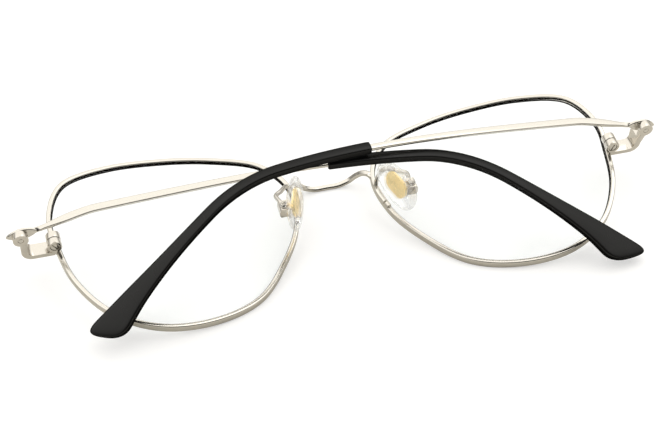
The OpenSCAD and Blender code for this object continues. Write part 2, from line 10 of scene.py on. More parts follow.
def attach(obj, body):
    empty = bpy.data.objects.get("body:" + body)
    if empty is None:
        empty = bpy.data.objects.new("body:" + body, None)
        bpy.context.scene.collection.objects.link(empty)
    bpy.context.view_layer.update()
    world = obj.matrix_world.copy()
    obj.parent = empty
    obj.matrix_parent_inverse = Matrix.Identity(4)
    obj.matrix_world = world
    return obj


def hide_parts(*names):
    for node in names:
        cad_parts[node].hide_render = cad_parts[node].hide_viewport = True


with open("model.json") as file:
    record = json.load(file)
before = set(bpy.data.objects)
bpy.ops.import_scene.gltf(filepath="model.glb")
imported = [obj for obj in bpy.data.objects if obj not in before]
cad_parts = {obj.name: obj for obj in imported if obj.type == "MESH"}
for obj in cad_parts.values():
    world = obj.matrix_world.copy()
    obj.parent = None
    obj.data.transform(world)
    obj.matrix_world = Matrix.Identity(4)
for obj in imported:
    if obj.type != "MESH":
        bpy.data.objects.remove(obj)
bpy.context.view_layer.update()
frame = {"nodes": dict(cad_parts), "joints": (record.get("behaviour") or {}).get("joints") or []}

MM = 0.001
SIDES = {"left": -1, "right": 1}

# Sizes of the glasses in millimetres, as worn: x to the side, y up, z back toward the ears.
# Left and right are the wearer's.

# Lens and rim
CENTRE_DISTANCE = 73.0
LENS_RADIUS = 119.0
LENS_LEAN = 9.9  # how far the middle of the lens's ball surface lies toward the nose
LENS_THICKNESS = 1.4
LENS_STEPS = 240
RIDGE_PLAY = 0.2  # the ridge is narrower than the groove by this
RIDGE_GAP = 0.03  # and stays off the groove's floor by this
RIM_WIDTH = 1.0
RIM_DEPTH = 1.7
RIM_ROUND = 0.28
RIM_STEPS = 320
RIM_CUT = 0.2
GROOVE_WIDTH = 0.7
GROOVE_DEPTH = 0.45
OUTLINE_STEP = 9  # about the way from one outline point to the next

# Hinge: a leaf on the temple, a knuckle on the end piece and a screw through both
HINGE_REACH = 6.7
HINGE_SETBACK = 7.1
LEAF_Y = -0.1
LEAF_THICKNESS = 0.65
LEAF_LENGTH = 6.7
LEAF_WIDTH = 2.9
LEAF_POINT = 2.85
LEAF_EDGE = 0.1
KNUCKLE_HEIGHT = 1.55
SLIDE = 0.03
HINGE_SCREW_D = 1.2
HINGE_HEAD_RIM = 0.55
HINGE_HEAD_H = 0.65
HINGE_DOME_R = 1.6
FREE_FIT = 0.05

# Rim lock: two half barrels and their screw
LOCK_D = 3.0
LOCK_LENGTH = 3.4
LOCK_GAP = 0.1  # between the barrel and the back of the rim
LOCK_SCREW_D = 1.1
LOCK_HEAD_RIM = 0.4
LOCK_HEAD_H = 0.6
LOCK_END_ROOM = 0.1
LOCK_CHAMFER = 0.1
LOCK_CAP = 0.4
HEAD_SUNK = 0.1  # how deep the lock screw's head lies in its barrel

# Screws in common
SHAFT_CHAMFER = 0.12
SLOT_WIDTH = 0.3
SLOT_CUT = 0.25
SLOT_ROUND = 0.03

# Temple bar, with places measured along it from the hinge
BAR_HEIGHT = 2.0
BAR_HEIGHT_END = 1.5
BAR_TAPER_FROM = 8
BAR_THICKNESS = 0.8
BAR_THINNER = 0.05  # thinner than the leaf by this where it starts
BAR_SWELL = 0.05  # and thicker again by this for each millimetre
BAR_SWELL_FROM = 3
BAR_CORNER = 0.3  # corner radius as a share of the thickness
BAR_FALL = 0.073  # slope behind the climb
TWIST = (1.8, 5.4)  # from where to where the flat leaf turns upright
NECK_SHARE = 0.55  # height behind the leaf as a share of the whole height
NECK_LEAD = 1
NECK_LENGTH = 6.5
RISE = (1.5, 16.0, 1.6)  # from where, to where and how far the bar climbs
CORE_END = 108.0
CORE_LEAD = 4  # how far into the sleeve the bar's steps stay fine
FOLD = {"left": 8.2, "right": 10.85}

# Black sleeve: a thin part, then a paddle that rolls and ends in an oblique round
TEMPLE_LENGTH = {"left": 122.3, "right": 121.75}
TIP_START = 64.8
TIP_FRONT = 0.5
TIP_FRONT_SHARE = 0.82
TIP_THICKNESS = 1.8
TIP_HEIGHT = 2.4
TIP_CORNER = 0.26  # corner radius as a share of the thickness
TIP_CORNER_MOST = 0.42  # and its limit as a share of the height
TIP_CROWN = 0.24  # four times the crown of the outer face
PADDLE_HEIGHT = 7.3
PADDLE_THICKNESS = 2.3
PADDLE_FROM = 97.6
PADDLE_GROWTH = 2.6  # power with which it widens
PADDLE_LOW = 0.04  # how far its middle sinks, as a share of what it widens
PADDLE_ROLL = {"left": 35.3, "right": 28.3}
ROLL = (84.0, 40.0)  # from where and over what length it rolls
TIP_ROUND = 2.55
TIP_ROUND_POWER = 2.8
TIP_SKEW = {"left": 2.9, "right": 2.0}  # how far its upper edge runs ahead of its middle
SKEW_LENGTH = 8.2
TIP_CLOSE = 0.06  # how far the round end closes upward, as a share of the height

# Ear bend, and the curl that grows toward the tip
EAR_BEND = 84.5
EAR_RADIUS = 27.0
EAR_ANGLE = {"left": 38.9, "right": 32.45}
TIP_CURL = {"left": 28.4, "right": 33.35}
CURL = (125.0, 4.22)  # at what length the curl is whole, and its power

# Nose pad, pad box and pad screw
NOSE_POINT = 7.5  # outline points from the rim cut to the nose
PAD_PLACE = (1.9, -5.7, 8.6)
PAD_LENGTH = 13.2
PAD_WIDTH = 7.8
PAD_THICKNESS = 2.9
PAD_SQUARENESS = (0.85, 0.8)  # powers below 1 make it squarer across and in depth
PAD_ENDS = (0.75, 0.6)  # and fuller toward its ends
PAD_NARROWING = 0.1  # how much narrower its upper half is
PAD_SPLAY = 17.0
PAD_TILT = 18.0
PAD_ROOM = 0.3
BOX_PLACE = (4.7, -7.0, 8.9)
BOX_WIDTH = 2.3
BOX_HEIGHT = 2.8
PAD_SCREW_D = 0.9
PAD_HEAD_R = 0.9
PAD_HEAD_H = 0.8
PAD_DOME_SHARE = 1.1

# Pad wire and the solder foot that holds it to the rim
ARM_WIRE_D = 1.0
ARM_SUNK = 0.1
ARM_START = 7.85  # this and the foot's ends are counted in outline points
FOOT_ENDS = (7.98, 7.42)
FOOT_OUT = 0.05
FOOT_BACK = 0.28
FOOT_HEIGHT = 0.95
FOOT_THICKNESS = 0.72
FOOT_ROUND = 0.15

# Points of the right lens outline from its centre, going up from the rim cut at the temple side.
# They were fitted with the solved camera and rounded.
OUTLINE = np.array([
    (25.05, 0.4), (25.5, 8.7), (21.3, 17.3), (11.0, 21.3), (-1.0, 21.9),
    (-12.0, 20.2), (-22.0, 16.1), (-27.1, 8.0), (-26.0, -2.0), (-21.0, -11.2),
    (-13.5, -20.0), (-3.0, -23.9), (8.0, -23.6), (17.0, -18.4), (22.7, -9.5)])


def curve_point(points, t, closed):
    """Points of a smooth curve through the given points, at the fractions t."""
    n = len(points)
    s = np.asarray(t, float) * (n if closed else n - 1)
    i = np.floor(s).astype(int)
    if not closed:
        i = np.clip(i, 0, n - 2)
    f = (s - i)[:, None]
    if closed:
        a, b, c, d = (points[(i + k) % n] for k in (-1, 0, 1, 2))
    else:
        a, b, c, d = (points[np.clip(i + k, 0, n - 1)] for k in (-1, 0, 1, 2))
    return (2 * b + (c - a) * f + (2 * a - 5 * b + 4 * c - d) * f ** 2
            + (3 * b - a - 3 * c + d) * f ** 3) / 2


def outline(t, out=0.0):
    """Points on the lens outline at fractions t, moved outward by out."""
    p = curve_point(OUTLINE, t, True)
    d = curve_point(OUTLINE, t + 0.001, True) - curve_point(OUTLINE, t - 0.001, True)
    d /= np.linalg.norm(d, axis=1)[:, None]
    return p + out * np.stack([d[:, 1], -d[:, 0]], 1)


def lens_level(p, back=0.0):
    """Height of the ball surface that lies back behind the middle of the lens."""
    centre = math.sqrt(LENS_RADIUS ** 2 - LENS_LEAN ** 2)
    return centre - np.sqrt((LENS_RADIUS - back) ** 2 - (p[:, 0] + LENS_LEAN) ** 2 - p[:, 1] ** 2)


def smooth_step(t):
    t = np.clip(t, 0, 1)
    return t * t * (3 - 2 * t)


def rim_point(t, out=0.0, back=0.0):
    """Point beside the right rim wire, at a number t of outline points from the cut."""
    p = outline(np.array([t / len(OUTLINE)]), out)
    return np.array([CENTRE_DISTANCE / 2 + p[0, 0], p[0, 1], lens_level(p)[0] + back])


SIDE = rim_point(0)
HINGE = np.array([SIDE[0] + RIM_WIDTH / 2 + HINGE_REACH, LEAF_Y, SIDE[2] + HINGE_SETBACK])
LOCK = np.array([SIDE[0] + RIM_WIDTH / 2, SIDE[1], SIDE[2] + RIM_DEPTH / 2 + LOCK_D / 2 + LOCK_GAP])
NOSE = rim_point(NOSE_POINT)
PAD_CENTRE = NOSE + PAD_PLACE
BOX_CENTRE = NOSE + BOX_PLACE


def resting_place():
    """The turn and shift that lay the worn glasses on the table, read from the right hinge."""
    joint = next(j for j in frame["joints"] if j["name"] == "temple_fold_right")
    axis = Vector(joint["axis"])
    turn = Matrix.Rotation(math.atan2(axis.z, axis.y), 4, "X")
    shift = Vector(joint["pos_m"]) - turn @ (Vector(HINGE) * MM)
    return Matrix.Translation(shift) @ turn


LAID = resting_place()


def to_table(points, side, place=None):
    """Worn points in millimetres, mirrored for the left side and laid on the table in metres."""
    p = np.asarray(points, float) * MM
    if place is not None:
        m = np.array(place)
        p = p @ m[:3, :3].T + m[:3, 3]
    p = p * np.array([side, 1, 1])
    m = np.array(LAID)
    return p @ m[:3, :3].T + m[:3, 3]


def link_object(name, data):
    obj = bpy.data.objects.new(name, data)
    bpy.context.scene.collection.objects.link(obj)
    return obj


def make_object(name, points, faces, material=None, sharp=180.0):
    """A closed mesh at the origin, facing outward, smooth apart from edges over an angle."""
    mesh = bpy.data.meshes.new(name)
    mesh.from_pydata([tuple(p) for p in points], [], faces)
    obj = link_object(name, mesh)
    face_outward(mesh)
    shade(mesh, sharp)
    if material:
        mesh.materials.append(material)
    return obj


def face_outward(mesh, merge_mm=0.0, flat_degrees=0.0):
    """Turns the faces outward, after joining near points and flat faces if asked to."""
    work = bmesh.new()
    work.from_mesh(mesh)
    if merge_mm:
        bmesh.ops.remove_doubles(work, verts=work.verts, dist=merge_mm * MM)
    if flat_degrees:
        bmesh.ops.dissolve_limit(work, angle_limit=math.radians(flat_degrees),
                                 verts=work.verts, edges=work.edges)
    bmesh.ops.recalc_face_normals(work, faces=work.faces)
    work.to_mesh(mesh)
    work.free()


def shade(mesh, sharp):
    mesh.polygons.foreach_set("use_smooth", [True] * len(mesh.polygons))
    mesh.set_sharp_from_angle(angle=math.radians(sharp))


def worked_mesh(obj):
    """A new mesh of an object with its modifiers worked in."""
    bpy.context.view_layer.update()
    return bpy.data.meshes.new_from_object(obj.evaluated_get(bpy.context.evaluated_depsgraph_get()))


def make_plain(obj, sharp=40.0):
    mesh = worked_mesh(obj)
    obj.modifiers.clear()
    obj.data = mesh
    mesh.name = obj.name
    shade(mesh, sharp)
    return obj


def combine(obj, other, operation):
    """Joins another closed piece to obj, or cuts it away."""
    modifier = obj.modifiers.new("shape", "BOOLEAN")
    modifier.operation = operation
    modifier.solver = "EXACT"
    modifier.object = other
    make_plain(obj)
    bpy.data.objects.remove(other)
    return obj


def round_edges(obj, radius_mm, segments, from_degrees):
    bevel = obj.modifiers.new("edges", "BEVEL")
    bevel.width = radius_mm * MM
    bevel.segments = segments
    bevel.limit_method = "ANGLE"
    bevel.angle_limit = math.radians(from_degrees)


def stands_for(piece, slot, body, *nodes):
    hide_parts(*nodes)
    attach(piece, body)


def skin_faces(rings, count, closed=False):
    """Quads over rings of points, with end caps where the rings don't close."""
    faces = []
    for i in range(rings if closed else rings - 1):
        for j in range(count):
            a, b = i * count + j, i * count + (j + 1) % count
            c, d = ((i + 1) % rings) * count + j, ((i + 1) % rings) * count + (j + 1) % count
            faces.append((a, b, d, c))
    if not closed:
        faces.append(tuple(reversed(range(count))))
        faces.append(tuple((rings - 1) * count + j for j in range(count)))
    return faces


def bar_rings(path, sections, up=(0, 1, 0)):
    """Rings of a bar along a path; a section's first axis lies nearest to up, a third one along it."""
    tangent = np.gradient(path, axis=0)
    tangent /= np.linalg.norm(tangent, axis=1)[:, None]
    up = np.array(up, float)
    w = up - (tangent @ up)[:, None] * tangent
    w /= np.linalg.norm(w, axis=1)[:, None]
    v = np.cross(w, tangent)
    rings = []
    for i, section in enumerate(sections):
        ring = path[i] + section[:, :1] * w[i] + section[:, 1:2] * v[i]
        if section.shape[1] > 2:
            ring = ring + section[:, 2:] * tangent[i]
        rings.append(ring)
    return np.concatenate(rings)


def rounded_bar(height, thickness, radius, turn=0.0, steps=3):
    """Rectangle with round corners, turned by an angle in degrees."""
    points = []
    for quarter, (sx, sy) in enumerate(((1, -1), (1, 1), (-1, 1), (-1, -1))):
        centre = np.array([sx * (height / 2 - radius), sy * (thickness / 2 - radius)])
        start = math.radians(-90 + 90 * quarter)
        for k in range(steps + 1):
            a = start + math.radians(90) * k / steps
            points.append(centre + radius * np.array([math.cos(a), math.sin(a)]))
    a = math.radians(turn)
    turned = np.array([[math.cos(a), math.sin(a)], [-math.sin(a), math.cos(a)]])
    return np.array(points) @ turned


# Materials

def linear(hex_code):
    """An sRGB hex colour as linear RGBA."""
    values = [int(hex_code[i:i + 2], 16) / 255 for i in (1, 3, 5)]
    return (*[v / 12.92 if v <= 0.04045 else ((v + 0.055) / 1.055) ** 2.4 for v in values], 1.0)


def add(tree, kind, inputs=None, **settings):
    """A node with its settings, and its inputs as constants or links."""
    node = tree.nodes.new(kind)
    for key, value in settings.items():
        setattr(node, key, value)
    for key, value in (inputs or {}).items():
        if isinstance(value, bpy.types.NodeSocket):
            tree.links.new(value, node.inputs[key])
        else:
            node.inputs[key].default_value = value
    return node


def new_material(name):
    material = bpy.data.materials.new(name)
    material.use_nodes = True
    material.node_tree.nodes.clear()
    return material, material.node_tree


def finish_material(tree, surface):
    add(tree, "ShaderNodeOutputMaterial", {"Surface": surface})


def noise(tree, size_mm, detail):
    """Noise in the object's own space, with grains of a size."""
    place = add(tree, "ShaderNodeTexCoord").outputs["Object"]
    grain = add(tree, "ShaderNodeTexNoise", {
        "Vector": place, "Scale": 1 / (size_mm * MM), "Detail": detail})
    return grain.outputs["Fac"]


def ripples(tree, height, depth_mm):
    bump = add(tree, "ShaderNodeBump", {"Height": height, "Strength": 1.0, "Distance": depth_mm * MM})
    return bump.outputs["Normal"]


def mapped(tree, value, start, end, low, high, shape="LINEAR"):
    """A value from start to end as one from low to high."""
    node = add(tree, "ShaderNodeMapRange", {
        "Value": value, "From Min": start, "From Max": end, "To Min": low, "To Max": high},
        interpolation_type=shape)
    return node.outputs["Result"]


def blended(tree, share, first, second):
    node = add(tree, "ShaderNodeMix", {"Factor": share, "A": first, "B": second}, data_type="RGBA")
    return node.outputs["Result"]


def larger(tree, first, second):
    return add(tree, "ShaderNodeMath", {0: first, 1: second}, operation="MAXIMUM").outputs[0]


def seen_ray(tree, path):
    """1 for what the camera sees directly or through the lenses."""
    return larger(tree, path.outputs["Is Camera Ray"], path.outputs["Is Transmission Ray"])


def plated_metal(name, colour, low, high, grain_mm, depth_mm):
    """Plated and polished metal: fine tumbling marks vary its gloss and ripple it a little."""
    material, tree = new_material(name)
    grain = noise(tree, grain_mm, 3.0)
    shader = add(tree, "ShaderNodeBsdfPrincipled", {
        "Base Color": linear(colour), "Metallic": 1.0,
        "Roughness": mapped(tree, grain, 0.3, 0.7, low, high), "Normal": ripples(tree, grain, depth_mm)})
    finish_material(tree, shader.outputs["BSDF"])
    return material


def black_acetate():
    """Moulded cellulose acetate, tumbled to a satin black with faint flow marks.

    Its shine fades where a face is seen at a slant, so that the walls stay black.
    """
    material, tree = new_material("satin_black_acetate")
    flow = noise(tree, 6.0, 2.0)
    facing = add(tree, "ShaderNodeLayerWeight", {"Blend": 0.5}).outputs["Facing"]
    shader = add(tree, "ShaderNodeBsdfPrincipled", {
        "Base Color": blended(tree, flow, linear("#0A0A0A"), linear("#131312")),
        "Roughness": mapped(tree, flow, 0.3, 0.7, 0.24, 0.34), "IOR": 1.48,
        "Specular IOR Level": mapped(tree, facing, 0.15, 0.45, 0.31, 0.0),
        "Normal": ripples(tree, noise(tree, 0.25, 2.0), 0.004)})
    finish_material(tree, shader.outputs["BSDF"])
    return material


def clear_body(name, colour, roughness, ior, shine, softness, ripple_mm, ripple_depth_mm):
    """A clear moulded body whose shadow stays light.

    Shine is the share of its surface reflection that is left, and softness the share of the
    light that goes straight through it unbent.
    """
    material, tree = new_material(name)
    shader = add(tree, "ShaderNodeBsdfPrincipled", {
        "Base Color": linear(colour), "Roughness": roughness, "IOR": ior,
        "Specular Tint": (shine, shine, shine, 1), "Transmission Weight": 1.0,
        "Normal": ripples(tree, noise(tree, ripple_mm, 1.0), ripple_depth_mm)})
    passing = add(tree, "ShaderNodeBsdfTransparent", {"Color": linear(colour)})
    path = add(tree, "ShaderNodeLightPath")
    either = larger(tree, path.outputs["Is Shadow Ray"], path.outputs["Is Diffuse Ray"])
    mixed = add(tree, "ShaderNodeMixShader", {
        0: larger(tree, either, softness), 1: shader.outputs["BSDF"], 2: passing.outputs["BSDF"]})
    finish_material(tree, mixed.outputs["Shader"])
    return material


def painted_shade_lens_edge():
    """The edge of a cut lens: ground matt, and painted near black with no shine as the shade inside the
    rim's groove, so it shows as a black line inside the upper rims.
    """
    material, tree = new_material("ground_lens_edge")
    shader = add(tree, "ShaderNodeBsdfPrincipled", {
        # Near black base colour with no shine: painted shade of the rim's groove
        "Base Color": blended(tree, noise(tree, 0.12, 2.0), linear("#060504"), linear("#0E0B08")),
        "Roughness": 0.6, "IOR": 1.5, "Specular IOR Level": 0.0})
    finish_material(tree, shader.outputs["BSDF"])
    return material


# Palladium over nickel silver gives the wires a warm silver with a thin bright line along them
SILVER = plated_metal("palladium_plated_wire", "#D4D0C8", 0.12, 0.22, 0.35, 0.0006)
# The same plating on tumbled small parts is a little duller and warmer
SILVER_SMALL = plated_metal("palladium_plated_fitting", "#D2CDC4", 0.14, 0.24, 0.18, 0.001)
# Gold plate gives the two pads their yellow plates
GOLD = plated_metal("gold_plated_core", "#FFE9B4", 0.18, 0.30, 0.25, 0.001)
# Acetate gives black walls, and upper faces that mirror a little of the white tent
ACETATE = black_acetate()
# Coated resin is hardly seen: it mirrors a tenth of what bare resin does
LENS = clear_body("cast_resin_lens", "#FDFEFE", 0.0, 1.50, 0.10, 0.0, 40.0, 0.0)
# The lens edge is painted near black: this painted groove shade gives the upper rims their black line
EDGE = painted_shade_lens_edge()
# Silicone is water-clear, with soft grey outlines where it bends the light
SILICONE = clear_body("clear_silicone", "#FEFEFE", 0.03, 1.41, 0.25, 0.66, 1.5, 0.01)


# Camera at the photograph's viewing angle, in millimetres and degrees

CAMERA_LENS = 89.37
CAMERA_AZIMUTH = 15.619
CAMERA_DOWN = 40.809
CAMERA_ROLL = 0.131
CAMERA_TARGET = (-3.329, -0.542, 8.0)
CAMERA_DISTANCE = 351.81


def make_camera():
    data = bpy.data.cameras.new("camera")
    data.sensor_width = 36.0
    data.lens = CAMERA_LENS
    data.clip_start = 0.01
    data.clip_end = 50.0
    camera = link_object("camera", data)
    azimuth, down, roll = (math.radians(a) for a in (CAMERA_AZIMUTH, CAMERA_DOWN, CAMERA_ROLL))
    forward = Vector((math.sin(azimuth) * math.cos(down),
                      math.cos(azimuth) * math.cos(down), -math.sin(down)))
    right = forward.cross(Vector((0, 0, 1))).normalized()
    up = right.cross(forward)
    turned = Matrix((right, up, -forward)).transposed() @ Matrix.Rotation(roll, 3, "Z")
    place = (Vector(CAMERA_TARGET) - forward * CAMERA_DISTANCE) * MM
    camera.matrix_world = Matrix.Translation(place) @ turned.to_4x4()
    bpy.context.scene.camera = camera


make_camera()


# Floor, world and lamps, in metres

FLOOR_REACH = 6.0
PAPER_LIT = 0.60  # share of the light that seen paper throws back
PAPER_GLOW = 0.47  # what it adds of its own, so that it is just white outside the soft shadow
TENT_LEVELS = (0.25, 1.50)  # at the horizon, and at the height below and over it
TENT_FULL_HEIGHT = 0.60
OPENING_WAY = (0.0, -0.954, 0.300)
OPENING_EDGE = (0.50, 0.85)  # cosines off that way, from the full tent to the open middle
OPENING_LEVEL = 0.03


def make_floor():
    """White paper sweep: seen as plain white, with the soft shadow of the glasses on it.

    The metal mirrors it as a warm pale grey.
    """
    material, tree = new_material("white_paper")
    path = add(tree, "ShaderNodeLightPath")
    tone = blended(tree, noise(tree, 0.8, 2.0), linear("#F3F3F2"), linear("#F6F6F5"))
    mirrored = blended(tree, path.outputs["Is Glossy Ray"], tone, linear("#DEDBD4"))
    paper = add(tree, "ShaderNodeBsdfDiffuse", {"Color": mirrored})
    lit = add(tree, "ShaderNodeBsdfDiffuse", {"Color": (PAPER_LIT, PAPER_LIT, PAPER_LIT, 1)})
    glow = add(tree, "ShaderNodeEmission", {"Color": (1, 1, 1, 1), "Strength": PAPER_GLOW})
    bright = add(tree, "ShaderNodeAddShader", {0: lit.outputs[0], 1: glow.outputs[0]})
    mixed = add(tree, "ShaderNodeMixShader", {
        0: seen_ray(tree, path), 1: paper.outputs[0], 2: bright.outputs[0]})
    finish_material(tree, mixed.outputs[0])
    reach = FLOOR_REACH
    corners = [(-reach, -reach, 0), (reach, -reach, 0), (reach, reach, 0), (-reach, reach, 0)]
    floor = make_object("floor", corners, [(0, 1, 2, 3)], material)


def make_world():
    """A white tent, open and dark where the camera stands, so that edges facing it turn dark."""
    world = bpy.data.worlds.new("studio")
    bpy.context.scene.world = world
    world.use_nodes = True
    tree = world.node_tree
    tree.nodes.clear()
    way = add(tree, "ShaderNodeTexCoord").outputs["Generated"]
    height = add(tree, "ShaderNodeSeparateXYZ", {0: way}).outputs["Z"]
    rise = mapped(tree, height, 0.0, TENT_FULL_HEIGHT, *TENT_LEVELS, "SMOOTHSTEP")
    facing = add(tree, "ShaderNodeVectorMath", {0: way, 1: OPENING_WAY}, operation="DOT_PRODUCT")
    opening = mapped(tree, facing.outputs["Value"], *OPENING_EDGE, 1.0, OPENING_LEVEL, "SMOOTHSTEP")
    level = add(tree, "ShaderNodeMath", {0: rise, 1: opening}, operation="MULTIPLY")
    tent = add(tree, "ShaderNodeBackground", {"Color": linear("#FFFDF8"), "Strength": level.outputs[0]})
    white = add(tree, "ShaderNodeBackground", {"Color": (1, 1, 1, 1), "Strength": 1.0})
    path = add(tree, "ShaderNodeLightPath")
    mixed = add(tree, "ShaderNodeMixShader", {
        0: seen_ray(tree, path), 1: tent.outputs[0], 2: white.outputs[0]})
    add(tree, "ShaderNodeOutputWorld", {"Surface": mixed.outputs[0]})


def make_lamp(name, place, size, watts):
    """A round lamp that looks at the origin."""
    data = bpy.data.lights.new(name, "AREA")
    data.shape = "DISK"
    data.size = size
    data.energy = watts
    lamp = link_object(name, data)
    lamp.location = place
    lamp.rotation_euler = (-Vector(place)).to_track_quat("-Z", "Y").to_euler()


make_floor()
make_world()
make_lamp("key", (0.45, 0.25, 0.95), size=0.50, watts=0.5)
make_lamp("fill", (-0.75, 0.10, 0.80), size=0.70, watts=0.3)
bpy.context.scene.view_settings.view_transform = "Standard"


# Rims and pad wires: one section swept along a path

def shape_tree(name, carrier, part, result):
    """An empty tree that puts a part on a carrier, and its named inputs."""
    tree = bpy.data.node_groups.new(name, "GeometryNodeTree")
    tree.interface.new_socket(carrier, in_out="INPUT", socket_type="NodeSocketGeometry")
    tree.interface.new_socket(part, in_out="INPUT", socket_type="NodeSocketObject")
    tree.interface.new_socket("Metal", in_out="INPUT", socket_type="NodeSocketMaterial")
    tree.interface.new_socket(result, in_out="OUTPUT", socket_type="NodeSocketGeometry")
    return tree, add(tree, "NodeGroupInput")


def finish_tree(tree, source, geometry, result):
    whole = add(tree, "GeometryNodeRealizeInstances", {"Geometry": geometry})
    plated = add(tree, "GeometryNodeSetMaterial", {
        "Geometry": whole.outputs["Geometry"], "Material": source.outputs["Metal"]})
    add(tree, "NodeGroupOutput", {result: plated.outputs["Geometry"]})


def sweep_tree():
    """Sweeps a profile along the edges of a mesh, with the profile's up along Z."""
    tree, source = shape_tree("swept_wire", "Path", "Section", "Wire")
    path = add(tree, "GeometryNodeMeshToCurve", {"Mesh": source.outputs["Path"]})
    upright = add(tree, "GeometryNodeSetCurveNormal", {"Curve": path.outputs["Curve"]}, mode="Z_UP")
    section = add(tree, "GeometryNodeObjectInfo", {"Object": source.outputs["Section"]})
    ring = add(tree, "GeometryNodeMeshToCurve", {"Mesh": section.outputs["Geometry"]})
    wire = add(tree, "GeometryNodeCurveToMesh", {
        "Curve": upright.outputs["Curve"], "Profile Curve": ring.outputs["Curve"], "Fill Caps": True})
    smooth = add(tree, "GeometryNodeSetShadeSmooth", {
        "Geometry": wire.outputs["Mesh"], "Shade Smooth": True})
    finish_tree(tree, source, smooth.outputs["Geometry"], "Wire")
    return tree


SWEEP = sweep_tree()


def socket_id(tree, name):
    return next(s.identifier for s in tree.interface.items_tree
                if s.item_type == "SOCKET" and s.in_out == "INPUT" and s.name == name)


def edge_object(name, points, closed):
    mesh = bpy.data.meshes.new(name)
    n = len(points)
    edges = [(i, i + 1) for i in range(n - 1)]
    if closed:
        edges.append((n - 1, 0))
    mesh.from_pydata([tuple(p) for p in points], edges, [])
    return link_object(name, mesh)


def swept(name, path, section, metal, side):
    """Sweeps section along path, both as worn in millimetres, and lays the result on the table."""
    guide = edge_object(name + "_path", np.asarray(path) * MM, False)
    ring = edge_object(name + "_section", np.column_stack([section, np.zeros(len(section))]) * MM, True)
    modifier = guide.modifiers.new("sweep", "NODES")
    modifier.node_group = SWEEP
    modifier[socket_id(SWEEP, "Section")] = ring
    modifier[socket_id(SWEEP, "Metal")] = metal
    mesh = worked_mesh(guide)
    mesh.name = name
    count = len(mesh.vertices)
    points = np.empty(count * 3)
    mesh.vertices.foreach_get("co", points)
    points = to_table(points.reshape(-1, 3) / MM, side)
    mesh.vertices.foreach_set("co", points.ravel())
    face_outward(mesh)
    for helper in (guide, ring):
        bpy.data.objects.remove(helper)
    return link_object(name, mesh)


# Half of the rim cut as a share of the whole outline
CUT_SHARE = RIM_CUT / 2 / (OUTLINE_STEP * len(OUTLINE))


def rim_section():
    """Outward and backward steps of the grooved rim wire, with rounded outer edges."""
    w = RIM_WIDTH / 2
    outer = rounded_bar(RIM_WIDTH, RIM_DEPTH, RIM_ROUND, steps=5)
    floor_x = GROOVE_DEPTH - w
    groove = np.array([(-w, GROOVE_WIDTH / 2), (floor_x, GROOVE_WIDTH / 2),
                       (floor_x, -GROOVE_WIDTH / 2), (-w, -GROOVE_WIDTH / 2)])
    half = len(outer) * 3 // 4
    return np.concatenate([outer[:half], groove, outer[half:]])


def make_rims():
    t = np.linspace(CUT_SHARE, 1 - CUT_SHARE, RIM_STEPS)
    p = outline(t)
    path = np.column_stack([p[:, 0] + CENTRE_DISTANCE / 2, p[:, 1], lens_level(p)])
    for name, side in SIDES.items():
        rim = swept("rim_wire_" + name, path, rim_section(), SILVER, side)
        stands_for(rim, "silver_metal", "front", "rim_" + name)


def make_lenses():
    """Clear curved lenses with a ground ridge round their edge, which sits in the rim's groove."""
    t = np.linspace(CUT_SHARE, 1 - CUT_SHARE, LENS_STEPS + 1)[:-1]
    body = outline(t, -RIM_WIDTH / 2 - FREE_FIT)
    ridge = outline(t, GROOVE_DEPTH - RIM_WIDTH / 2 - RIDGE_GAP)
    half, step = LENS_THICKNESS / 2, (GROOVE_WIDTH - RIDGE_PLAY) / 2
    shares = [0.04, 0.15, 0.3, 0.45, 0.6, 0.75, 0.88, 0.97, 1.0]
    rings = [(body * s, -half) for s in shares]
    rings += [(body, -step), (ridge, -step), (ridge, step), (body, step)]
    rings += [(body * s, half) for s in reversed(shares)]
    points = np.concatenate([
        np.column_stack([p[:, 0] + CENTRE_DISTANCE / 2, p[:, 1], lens_level(p, back)])
        for p, back in rings])
    faces = skin_faces(len(rings), LENS_STEPS)
    # The rings of faces from the rim of the front face to the rim of the back face are the ground edge,
    # which takes the painted groove shade
    first_edge = len(shares) - 1
    last_edge = len(shares) + 3
    for name, side in SIDES.items():
        lens = make_object("lens_blank_" + name, to_table(points, side), faces, LENS, 50.0)
        lens.data.materials.append(EDGE)
        for face in lens.data.polygons:
            ring = min(face.vertices) // LENS_STEPS
            if first_edge <= ring <= last_edge and len(face.vertices) == 4:
                face.material_index = 1
        stands_for(lens, "clear_lens", "front", "lens_" + name)


make_rims()
make_lenses()


# Small parts milled and stamped from nickel silver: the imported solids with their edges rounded

def rounded_copy(node, name, material, round_mm, segments=3, sharp=40.0):
    """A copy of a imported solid, freed of its slivers, with its edges rounded."""
    mesh = frame["nodes"][node].data.copy()
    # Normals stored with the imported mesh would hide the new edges
    for attribute in [a.name for a in mesh.attributes if a.name == "custom_normal"]:
        mesh.attributes.remove(mesh.attributes[attribute])
    face_outward(mesh, merge_mm=0.002, flat_degrees=1.0)
    mesh.materials.clear()
    mesh.materials.append(material)
    obj = link_object(name, mesh)
    round_edges(obj, round_mm, segments, 30)
    return make_plain(obj, sharp)


def make_fittings():
    for side in SIDES:
        for node, name, round_mm in (
                ("end_piece", "bent_end_piece", 0.16), ("rim_lock_upper", "lock_barrel_upper", 0.14),
                ("rim_lock_lower", "lock_barrel_lower", 0.14), ("pad_box", "pad_clamp_box", 0.15)):
            piece = rounded_copy(f"{node}_{side}", f"{name}_{side}", SILVER_SMALL, round_mm)
            stands_for(piece, "silver_metal", "front", f"{node}_{side}")
        core = rounded_copy("pad_insert_" + side, "gilt_pad_core_" + side, GOLD, 0.1)
        stands_for(core, "gold_metal", "nose_pad_" + side, "pad_insert_" + side)
    bar = rounded_copy("bridge", "bridge_bar", SILVER, 0.06, segments=2, sharp=30.0)
    stands_for(bar, "silver_metal", "front", "bridge")


make_fittings()


# Screws: turned, domed and slotted, one tree sets each kind in its two places

